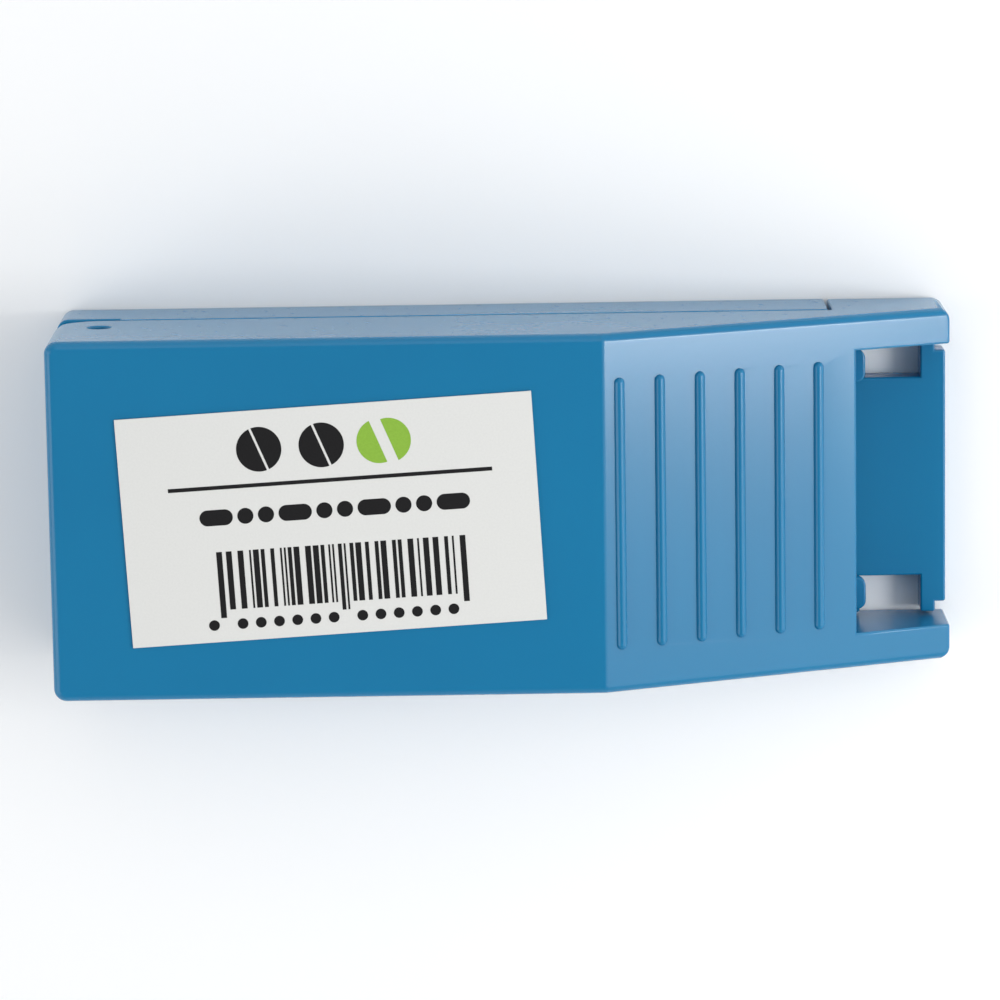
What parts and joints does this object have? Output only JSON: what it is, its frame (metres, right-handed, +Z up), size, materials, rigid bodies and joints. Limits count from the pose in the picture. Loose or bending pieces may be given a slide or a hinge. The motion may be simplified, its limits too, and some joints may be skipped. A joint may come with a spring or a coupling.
{
  "type": "pill splitter",
  "caption": "Pocket tablet splitter: a tray with a tablet bed and storage cell under a hinged lid that carries the blade, with a ribbed thumb slope.",
  "frame": {"origin": "centre of the bottom face, on the table", "axes": "+X along the length towards the thumb end, +Y across, +Z up"},
  "size_m": [0.085, 0.034, 0.0222],
  "materials": {
    "blue_plastic": "glossy moulded polypropylene",
    "white_plastic": "satin moulded",
    "guard_plastic": "smooth moulded",
    "pad_rubber": "matte",
    "blade_steel": "ground, polished edge",
    "pin_steel": "bright nickel plate",
    "label_paper": "coated, semi-gloss"
  },
  "bodies": {
    "base": {"base_shell": "blue_plastic", "pill_bed": "white_plastic", "cutting_pad": "pad_rubber", "hinge_pin": "pin_steel"},
    "lid": {"lid_shell": "blue_plastic", "label": "label_paper", "blade_holder": "white_plastic", "blade": "blade_steel", "blade_rivet_rear": "pin_steel", "blade_rivet_front": "pin_steel", "holder_screw_1": "pin_steel", "holder_screw_2": "pin_steel", "holder_screw_3": "pin_steel", "holder_screw_4": "pin_steel", "guard_pin": "pin_steel", "guard_spring": "pin_steel"},
    "guard": {"blade_guard": "guard_plastic"}
  },
  "joints": [
    {"name": "lid_hinge", "type": "hinge", "parent": "base", "child": "lid", "pos_m": [-0.038, 0, 0.0123], "axis": [0, -1, 0], "range_deg": [0, 100]},
    {"name": "guard_pivot", "type": "hinge", "parent": "lid", "child": "guard", "pos_m": [-0.031, 0, 0.013], "axis": [0, 1, 0], "range_deg": [0, 24]}
  ],
  "couplings": [
    {"joint": "guard_pivot", "follows": "lid_hinge", "ratio": 0.22}
  ]
}
